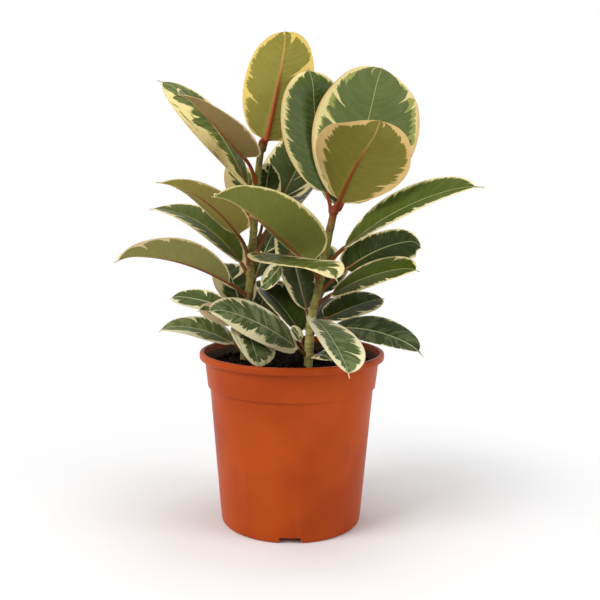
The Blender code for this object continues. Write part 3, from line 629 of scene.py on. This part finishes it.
def leafLines(leaf, stem, along, places):  # stalk rings, then midrib points, each with sideways and up
    centre, radius = stemAt(stem, leaf["height"])
    # the stalk is a running sum of steps whose climb eases into the climb at the blade's base
    share = np.linspace(0, 1, 41)
    climb = leaf["climb"] + (leaf["rise"] - leaf["climb"]) * ease(0, 1, share)
    way = direction(climb, np.full(41, float(leaf["heading"])))
    outward = direction(0.0, float(leaf["heading"]))
    stalk = centre + outward * (radius + blade["gap"]) + walk(way, leaf["stalk"])
    stalk[0] -= way[0] * blade["sunk"]  # the first ring starts inside the stem
    stalkPoint = np.stack([np.interp(places, share, stalk[:, axis]) for axis in range(3)], -1)
    stalkClimb = np.interp(places, share, climb)
    heading = np.full(len(places), float(leaf["heading"]))
    stalkWay, stalkSide = direction(stalkClimb, heading), direction(0 * heading, heading + 90)
    stalkUp = np.cross(stalkWay, stalkSide)
    stalkSide, stalkUp = turnAbout(stalkSide, stalkUp, leaf["roll"] * ease(0.1, 1, places))
    # along the midrib the climb falls with a power of the way, and by the curl near the end
    fine = np.linspace(0, 1, 801)
    climb = leaf["rise"] - leaf["droop"] * fine ** blade["droopPower"]
    climb = climb - leaf["curl"] * ease(blade["curlFrom"], 1, fine)
    heading = leaf["heading"] + leaf["sway"] * fine
    rib = stalk[-1] + walk(direction(climb, heading), leaf["length"])
    point = np.stack([np.interp(along, fine, rib[:, axis]) for axis in range(3)], -1)
    climb, heading = np.interp(along, fine, climb), np.interp(along, fine, heading)
    side = direction(0 * heading, heading + 90)
    up = np.cross(direction(climb, heading), side)
    side, up = turnAbout(side, up, leaf["roll"] + leaf["twist"] * along)
    return stalkPoint, stalkSide, stalkUp, point, side, up


def bladeSection(leaf, across):  # out and up along an arc that starts at the fold angle and flattens
    flatten = math.radians(leaf["flatten"]) + 1e-6
    fold = np.radians(np.where(across > 0, leaf["foldLeft"], leaf["foldRight"]))
    bend = fold - flatten * np.abs(across)
    return np.sign(across) * (np.sin(fold) - np.sin(bend)) / flatten, (np.cos(bend) - np.cos(fold)) / flatten


def leafPoints(leaf, stem, phase, ribs, ripple, keel):  # a round stalk that flattens into the blade
    b = blade
    spread = np.linspace(-1, 1, b["across"])
    across = spread * (0.3 + 0.7 * spread ** 2)  # close together at the midrib
    rings = int(b["fewestRings"] + leaf["length"] * b["ringsPerMm"])
    step = np.linspace(0, 1, rings + 1)[1:]
    along = step - 0.08 * np.sin(2 * math.pi * step)  # close together at both ends
    places = np.linspace(0, 1, b["stalkRings"])
    stalkPoint, stalkSide, stalkUp, point, side, up = leafLines(leaf, stem, along, places)

    # round section: the upper half from one side over the top, the lower half back underneath
    angle = math.pi / 2 * (1 - 0.97 * spread)
    radius = (b["stalkRadius"][0] + b["stalkRadius"][1] * leaf["length"]) * keel ** 0.5
    swell = radius * (1 + 0.35 * np.exp(-(places * leaf["stalk"] / 2.2) ** 2))[:, None, None]
    stalkTop = stalkPoint[:, None] + swell * (np.cos(angle)[None, :, None] * stalkSide[:, None]
                                              + np.sin(angle)[None, :, None] * stalkUp[:, None])
    stalkLow = stalkTop - 2 * swell * np.sin(angle)[None, :, None] * stalkUp[:, None]

    # flat section: folded and curved halves, a groove along the midrib, ribs along the side veins
    half = np.sqrt(halfWidth(leaf, along) ** 2 + 0.2 ** 2)[:, None]
    out, lift = bladeSection(leaf, across)
    a, t = np.abs(across)[None], along[:, None]
    away = a * half
    ribWidth = b["ribWidth"][0] * keel * (1 - t) + b["ribWidth"][1] * t
    ribBump = np.exp(-(away / ribWidth) ** 2)
    # veins: millimetres along, less the veins' own lean, in steps of their spacing, with a slow wander
    vein = (t * leaf["length"] - b["veinLean"] * leaf["width"] / 2 * a ** b["veinBend"]) / b["veinSpacing"]
    vein = vein + 0.22 * np.sin(1.9 * vein + phase)
    relief = ribs * b["veinRelief"] * 2.6 * np.sqrt(a) * (1 - a) * np.cos(2 * math.pi * vein)
    relief = relief * ease(0.02, 0.12, t) * ease(1.0, 0.9, t) * np.minimum(half / 12, 1)
    # groove: a bell curve across the midrib; wave: a sine along the margin, out of step left and right
    groove = b["groove"] * ribBump * ease(0, 0.1, t) * (1 - 0.5 * t)
    lean = np.where(across > 0, 0.0, 2.0)[None]
    wave = ripple * half * a ** 2 * np.sin(8.5 * t + phase + lean) * ease(0.03, 0.2, t)
    shift = half * lift[None] + wave
    flat = point[:, None] + (half * out[None])[..., None] * side[:, None]
    top = flat + (shift + relief - groove)[..., None] * up[:, None]
    depth = b["thickness"] * (1 - (1 - b["marginFade"]) * a ** 2) + b["ribDepth"] * ribBump * (1 - 0.8 * t)
    low = flat + (shift + b["lowRelief"] * relief - groove - depth)[..., None] * up[:, None]
    roundTop = point[:, None] + radius * (np.cos(angle)[None, :, None] * side[:, None]
                                          + np.sin(angle)[None, :, None] * up[:, None])
    roundLow = roundTop - 2 * radius * np.sin(angle)[None, :, None] * up[:, None]
    spreadOut = ease(0, b["joinLength"] / leaf["length"], along)[:, None, None]
    top, low = roundTop * (1 - spreadOut) + top * spreadOut, roundLow * (1 - spreadOut) + low * spreadOut

    grid = np.vstack([np.hstack([stalkTop[:-1], stalkLow[:-1, ::-1]]), np.hstack([top, low[:, ::-1]])])
    both = np.concatenate([across, across[::-1]])
    down = np.concatenate([(places[:-1] - 1.02) * leaf["stalk"] / leaf["length"], along])
    share = spreadOut[:, 0, 0]
    width = np.concatenate([np.full(len(places) - 1, radius), half[:, 0] * share + radius * (1 - share)])
    leafUv = np.stack([both[None] + 0 * down[:, None], down[:, None] + 0 * both[None]], -1)
    leafMm = np.stack([both[None] * width[:, None], down[:, None] * leaf["length"] + 0 * both[None]], -1)
    return grid, leafUv.reshape(-1, 2), leafMm.reshape(-1, 2)


leafTone = {
    "upper": {
        "deep": (0.070, 0.094, 0.014, 1), "milk": (0.170, 0.195, 0.055, 1), "halo": (0.30, 0.32, 0.085, 1),
        "cream": (0.78, 0.64, 0.28, 1), "edge": (0.74, 0.48, 0.20, 1),
        "rib": (0.42, 0.40, 0.16, 1), "ribBase": (0.45, 0.12, 0.045, 1),
        "under": (0.235, 0.205, 0.034, 1), "underCream": (0.76, 0.52, 0.21, 1),
        "underRib": (0.42, 0.095, 0.035, 1), "stalk": (0.26, 0.055, 0.018, 1),
    },
    "middle": {
        "deep": (0.066, 0.090, 0.012, 1), "milk": (0.150, 0.175, 0.050, 1), "halo": (0.29, 0.30, 0.11, 1),
        "cream": (0.80, 0.69, 0.36, 1), "edge": (0.77, 0.56, 0.27, 1),
        "rib": (0.36, 0.37, 0.15, 1), "ribBase": (0.34, 0.14, 0.06, 1),
        "under": (0.150, 0.160, 0.029, 1), "underCream": (0.74, 0.60, 0.29, 1),
        "underRib": (0.27, 0.085, 0.035, 1), "stalk": (0.19, 0.070, 0.025, 1),
    },
    "lower": {
        "deep": (0.068, 0.096, 0.024, 1), "milk": (0.180, 0.210, 0.085, 1), "halo": (0.31, 0.34, 0.16, 1),
        "cream": (0.83, 0.76, 0.47, 1), "edge": (0.80, 0.66, 0.42, 1),
        "rib": (0.50, 0.51, 0.28, 1), "ribBase": (0.45, 0.33, 0.17, 1),
        "under": (0.190, 0.185, 0.070, 1), "underCream": (0.76, 0.66, 0.38, 1),
        "underRib": (0.30, 0.13, 0.06, 1), "stalk": (0.17, 0.085, 0.030, 1),
    },
    # painted shade: darker copies of the leaf colours for leaves deep inside the plant, where shade falls
    "innerPaintedShade": {
        "deep": (0.030, 0.042, 0.007, 1), "milk": (0.080, 0.105, 0.040, 1), "halo": (0.20, 0.22, 0.08, 1),
        "cream": (0.76, 0.67, 0.36, 1), "edge": (0.70, 0.52, 0.27, 1),
        "rib": (0.34, 0.34, 0.17, 1), "ribBase": (0.28, 0.12, 0.05, 1),
        "under": (0.110, 0.110, 0.028, 1), "underCream": (0.62, 0.50, 0.25, 1),
        "underRib": (0.22, 0.08, 0.03, 1), "stalk": (0.15, 0.065, 0.022, 1),
    },
}
leafLook = {  # what a leaf has unless its row says otherwise
    "creamLeft": 0.14, "creamRight": 0.14,  # mean width of the cream margin, as a share of the half width
    "flame": 0.35, "teeth": 0.12,           # how deep cream runs in between lobes, and the small teeth
    "lobe": 9.0, "tooth": 2.3,              # spacing of the lobes and of the teeth, mm
    "haloWidth": 0.16, "milky": 0.7,        # pale green beside the cream, and the share of grey-green patches
    "tipCream": 0.5, "baseCream": 0.3,      # how far the cream closes in at the tip and at the base
    "stray": 0.0,                           # green streaks left over inside the cream
    "ribUnder": 1.0,                        # how far the underside's red midrib shows, 0 to 1
    "keel": 1.0,                            # thickness of the midrib and the stalk
    "shine": 0.30,                          # roughness of the upper face
    "gloss": 0.045,                         # specular level of the whole leaf
    "ribs": 0.7, "ripple": 0.022,           # relief of the side veins, and waviness of the margin
}  # a row may also name its tone, change a colour, or give the seed that shifts its pattern
skinInputs = [(key, "NodeSocketFloat") for key in
              ("lean", "seed", "creamLeft", "creamRight", "flame", "teeth", "lobe", "tooth", "haloWidth",
               "milky", "tipCream", "baseCream", "stray", "ribUnder", "keel", "shine")]
skinInputs += [(key, "NodeSocketColor") for key in leafTone["upper"]]


def makeSkinGroup():  # the leaf pattern, shared by every leaf's material
    tree = bpy.data.node_groups.new("leafSkin", "ShaderNodeTree")
    for key, kind in skinInputs:
        tree.interface.new_socket(key, in_out="INPUT", socket_type=kind)
    outputs = {"colour": "NodeSocketColor", "rough": "NodeSocketFloat", "height": "NodeSocketFloat"}
    for key, kind in outputs.items():
        tree.interface.new_socket(key, in_out="OUTPUT", socket_type=kind)
    given = tree.nodes.new("NodeGroupInput").outputs
    result = tree.nodes.new("NodeGroupOutput").inputs
    u, t, _ = parts(tree, addNode(tree, "UVMap", uv_map="leafUv").outputs[0])
    x, y, _ = parts(tree, addNode(tree, "UVMap", uv_map="leafMm").outputs[0])
    face = addNode(tree, "Attribute", attribute_name="upperFace").outputs["Fac"]

    # short forms for the arithmetic below
    def sums(operation, *values):
        return calc(tree, operation, *values)

    def times(first, second):
        return calc(tree, "MULTIPLY", first, second)

    def plus(first, second):
        return calc(tree, "ADD", first, second)

    def minus(first, second):
        return calc(tree, "SUBTRACT", first, second)

    # place along the side veins, which lean towards the tip as they near the margin
    a = sums("ABSOLUTE", u)
    leftHalf = sums("GREATER_THAN", u, 0.0)
    w = minus(y, times(given["lean"], sums("POWER", a, blade["veinBend"])))
    ws = plus(plus(w, times(leftHalf, 173.0)), given["seed"])
    wander = minus(noise(tree, vector(tree, times(x, 0.16), times(ws, 0.30)), 1.0, 2.0), 0.5)
    ws2 = plus(ws, times(wander, 2.2))

    # edge of the green: a margin that swells and shrinks, lobes with cream flames between, small teeth
    slow = minus(noise(tree, times(ws, 0.045), 1.0, 1.0, dimensions="1D"), 0.5)
    lobeAway, lobeChance, lobeChance2 = cells(tree, sums("DIVIDE", ws2, given["lobe"]))
    toothAway, toothChance, _ = cells(tree, sums("DIVIDE", ws2, given["tooth"]))
    flame = times(sums("POWER", times(lobeAway, 1.7), 1.6), given["flame"])
    flame = times(flame, times(sums("POWER", lobeChance, 2.2), 2.6))
    tooth = times(times(plus(toothAway, 0.15), plus(toothChance, 0.4)), given["teeth"])
    margin = mixNumber(tree, leftHalf, given["creamRight"], given["creamLeft"])
    margin = times(margin, plus(1.0, times(slow, 2.4)))
    limit = minus(minus(minus(1.0, margin), flame), tooth)
    ends = plus(times(between(tree, t, 0.82, 1.0), given["tipCream"]),
                times(between(tree, t, 0.12, 0.0), given["baseCream"]))
    reach = sums("SQRT", plus(times(a, a), ends))
    inside = minus(limit, reach)
    green = between(tree, inside, -0.012, 0.014)
    haloLimit = times(given["haloWidth"], times(lobeChance2, plus(0.6, wander)))
    halo = between(tree, inside, plus(haloLimit, 0.02), minus(haloLimit, 0.02))

    # grey-green patches drawn out along the side veins, and finer streaks
    patch = noise(tree, vector(tree, times(x, 0.055), times(ws2, 0.16)), 1.0, 3.0, 0.55)
    patch = times(between(tree, patch, 0.47, 0.56), given["milky"])
    streak = noise(tree, vector(tree, times(x, 0.10), times(ws, 0.85)), 1.0, 2.0)
    veinWave = sums("COSINE", times(w, 2 * math.pi / blade["fineVein"]))
    veinLine = between(tree, veinWave, 0.80, 1.0)

    upper = mixColour(tree, patch, given["deep"], given["milk"])
    upper = mixColour(tree, times(between(tree, streak, 0.50, 0.75), 0.30), upper, given["milk"])
    upper = mixColour(tree, times(veinLine, 0.10), upper, given["halo"])
    upper = mixColour(tree, halo, upper, given["halo"])
    cream = mixColour(tree, between(tree, a, 0.93, 1.0), given["cream"], given["edge"])
    cream = mixColour(tree, times(between(tree, streak, 0.55, 0.8), 0.25), cream, given["halo"])
    strayPlace = vector(tree, times(x, 0.30), times(ws2, 0.045))
    stray = times(between(tree, noise(tree, strayPlace, 1.0, 3.0), 0.56, 0.60), given["stray"])
    stray = times(stray, between(tree, a, 0.97, 0.93))
    upper = mixColour(tree, sums("MAXIMUM", green, stray), cream, upper)
    ribLimit = plus(0.35, times(minus(1.0, t), 0.75))
    ribMask = between(tree, sums("ABSOLUTE", x), ribLimit, times(ribLimit, 0.45))
    ribColour = mixColour(tree, between(tree, t, 0.03, 0.35), given["ribBase"], given["rib"])
    upper = mixColour(tree, ribMask, upper, ribColour)

    underGreen = mixColour(tree, times(between(tree, streak, 0.3, 0.8), 0.25), given["under"], given["deep"])
    underGreen = mixColour(tree, times(patch, 0.12), underGreen, given["halo"])
    underGreen = mixColour(tree, times(veinLine, 0.04), underGreen, given["underCream"])
    lower = mixColour(tree, between(tree, inside, -0.03, 0.03), given["underCream"], underGreen)
    wideRib = plus(0.5, times(minus(1.0, t), times(given["keel"], 1.7)))
    wideMask = between(tree, sums("ABSOLUTE", x), wideRib, times(wideRib, 0.55))
    fade = between(tree, t, plus(given["ribUnder"], 0.1), times(given["ribUnder"], 0.45))
    underRib = mixColour(tree, fade, given["underCream"], given["underRib"])
    lower = mixColour(tree, times(wideMask, plus(0.45, times(fade, 0.55))), lower, underRib)

    colour = mixColour(tree, face, lower, upper)
    colour = mixColour(tree, between(tree, t, 0.012, -0.004), colour, given["stalk"])
    tree.links.new(colour, result["colour"])
    dull = noise(tree, vector(tree, times(x, 0.11), times(y, 0.11)), 1.0, 3.0)
    topRough = plus(given["shine"], times(minus(dull, 0.5), 0.18))
    tree.links.new(mixNumber(tree, face, 0.52, topRough), result["rough"])
    pores = noise(tree, vector(tree, times(x, 2.2), times(y, 2.2)), 1.0, 2.0)
    height = plus(times(veinWave, 0.35), times(pores, 0.5))
    tree.links.new(height, result["height"])
    return tree


def leafMaterial(name, leaf, look, tone, seed):
    material, tree, shader = newMaterial(name)
    skin = addNode(tree, "Group", node_tree=bpy.data.node_groups["leafSkin"])
    values = dict(leafLook, lean=blade["veinLean"] * leaf["width"] / 2, seed=seed, **leafTone[tone])
    values.update(look)
    for key, _ in skinInputs:
        skin.inputs[key].default_value = values[key]
    tree.links.new(skin.outputs["colour"], shader.inputs["Base Color"])
    tree.links.new(skin.outputs["rough"], shader.inputs["Roughness"])
    shader.inputs["Specular IOR Level"].default_value = values["gloss"]
    tree.links.new(bumped(tree, skin.outputs["height"], 0.35, 0.00025), shader.inputs["Normal"])
    return material


def makeLeaf(side, number, row, look, chance):
    leaf = dict(zip(leafFields, row))
    phase, seed = chance.random() * 6.28, round(float(chance.random() * 900), 1)
    full = {**leafLook, **look}
    grid, leafUv, leafMm = leafPoints(leaf, stems[side], phase, full["ribs"], full["ripple"], full["keel"])
    rings, around = grid.shape[:2]
    faces = tubeFaces(rings, around)
    name = f"{side}Leaf{number:02d}"
    byHeight = "upper" if leaf["height"] > 262 else "middle" if leaf["height"] > 200 else "lower"
    tone = look.get("tone", byHeight)
    piece = newPiece(name, grid, faces, leafMaterial(name, leaf, look, tone, seed), 62)
    mesh = piece.data
    addUv(mesh, "leafUv", leafUv)
    addUv(mesh, "leafMm", leafMm)
    upper = np.zeros(len(faces), np.float32)  # 1 on the upper face and the margin, 0 below
    column = np.arange((rings - 1) * around) % around
    upper[:len(column)] = (column < blade["across"]) | (column == around - 1)
    mesh.attributes.new("upperFace", "FLOAT", "FACE").data.foreach_set("value", upper)
    standsFor(piece, f"{side}_leaf_{number:02d}")


def makeLeaves():
    makeSkinGroup()
    chance = np.random.default_rng(11)
    for side, rows in leafRows.items():
        for number, (row, look) in enumerate(rows, 1):
            makeLeaf(side, number, row, look, chance)


# studio

studio = {
    "cameraAt": (0.007, -0.76, 0.30), "cameraLens": 50.0, "lookDown": 7.0, "cameraRoll": 0.5,
    "surround": 0.28,      # world light that falls on the plant
    "lamps": {
        "keyLamp": {"at": (-1.15, -0.80, 1.10), "size": 0.9, "watts": 20.0},
        "fillLamp": {"at": (1.25, -0.65, 0.70), "size": 0.9, "watts": 9.0},
        "topLamp": {"at": (0.05, 0.10, 1.5), "size": 0.9, "watts": 9.0},
    },
    "floorRadius": 3.0, "whiteFrom": 0.16, "whiteBy": 0.42,
}


def seesBackdrop(tree):  # 1 for rays from the camera, in a mirror or through glass
    path = addNode(tree, "LightPath").outputs
    seen = calc(tree, "MAXIMUM", path["Is Camera Ray"], path["Is Glossy Ray"])
    return calc(tree, "MAXIMUM", seen, path["Is Transmission Ray"])


def makeWorld():
    world = bpy.data.worlds.new("studioWorld")
    bpy.context.scene.world = world
    world.use_nodes = True
    tree = world.node_tree
    background = tree.nodes["Background"]
    background.inputs["Color"].default_value = (1, 1, 1, 1)
    strength = mixNumber(tree, seesBackdrop(tree), studio["surround"], 1.0)
    tree.links.new(strength, background.inputs["Strength"])


def makeFloor():  # rings round the axis: a pale round floor, white to the eye away from the pot
    turn = np.linspace(0, 2 * math.pi, 96, endpoint=False)
    reach = np.array([0.001, 0.2, 0.6, studio["floorRadius"]]) / mm
    grid = reach[:, None, None] * np.stack([np.cos(turn), np.sin(turn), 0 * turn], -1)
    material, tree, shader = newMaterial("paleFloor")
    shader.inputs["Base Color"].default_value = (0.93, 0.93, 0.93, 1)
    shader.inputs["Roughness"].default_value = 0.85
    shader.inputs["Specular IOR Level"].default_value = 0.0
    x, y, _ = parts(tree, addNode(tree, "TexCoord").outputs["Object"])
    away = calc(tree, "SQRT", calc(tree, "ADD", calc(tree, "MULTIPLY", x, x), calc(tree, "MULTIPLY", y, y)))
    fade = between(tree, away, studio["whiteFrom"], studio["whiteBy"])
    amount = calc(tree, "MULTIPLY", fade, seesBackdrop(tree))
    white = addNode(tree, "Emission")
    both = addNode(tree, "MixShader")
    tree.links.new(amount, both.inputs[0])
    tree.links.new(shader.outputs[0], both.inputs[1])
    tree.links.new(white.outputs[0], both.inputs[2])
    tree.links.new(both.outputs[0], tree.nodes["Material Output"].inputs["Surface"])
    faces = tubeFaces(len(reach), len(turn))[:-1]
    newPiece("floor", grid, faces, material)


def aim(thing, at, target):  # puts it at a place and points its -Z axis at the target
    away = np.array(at) - np.array(target)
    flat = math.hypot(away[0], away[1])
    thing.location = at
    thing.rotation_euler = (math.atan2(flat, away[2]), 0, math.atan2(away[0], -away[1]))


def makeLamps():
    for name, lamp in studio["lamps"].items():
        light = bpy.data.lights.new(name, "AREA")
        light.size, light.energy = lamp["size"], lamp["watts"]
        thing = bpy.data.objects.new(name, light)
        bpy.context.collection.objects.link(thing)
        aim(thing, lamp["at"], (0, 0, 0.22))


def makeCamera():
    lens = bpy.data.cameras.new("camera")
    lens.lens, lens.sensor_width = studio["cameraLens"], 36.0
    lens.clip_start = 0.01
    thing = bpy.data.objects.new("camera", lens)
    bpy.context.collection.objects.link(thing)
    thing.location = studio["cameraAt"]
    level = Euler((math.radians(90 - studio["lookDown"]), 0, 0)).to_matrix()
    tilt = Euler((0, 0, math.radians(studio["cameraRoll"]))).to_matrix()
    thing.rotation_euler = (level @ tilt).to_euler()
    bpy.context.scene.camera = thing
    bpy.context.scene.view_settings.view_transform = "Standard"


makePot()
print("pot made")
makeSoil(np.random.default_rng(5))
print("soil made")
for stemSide in stems:
    makeStem(stemSide)
print("stems made")
makeLeaves()
print("leaves made")
makeWorld()
makeFloor()
makeLamps()
makeCamera()
print("studio made")
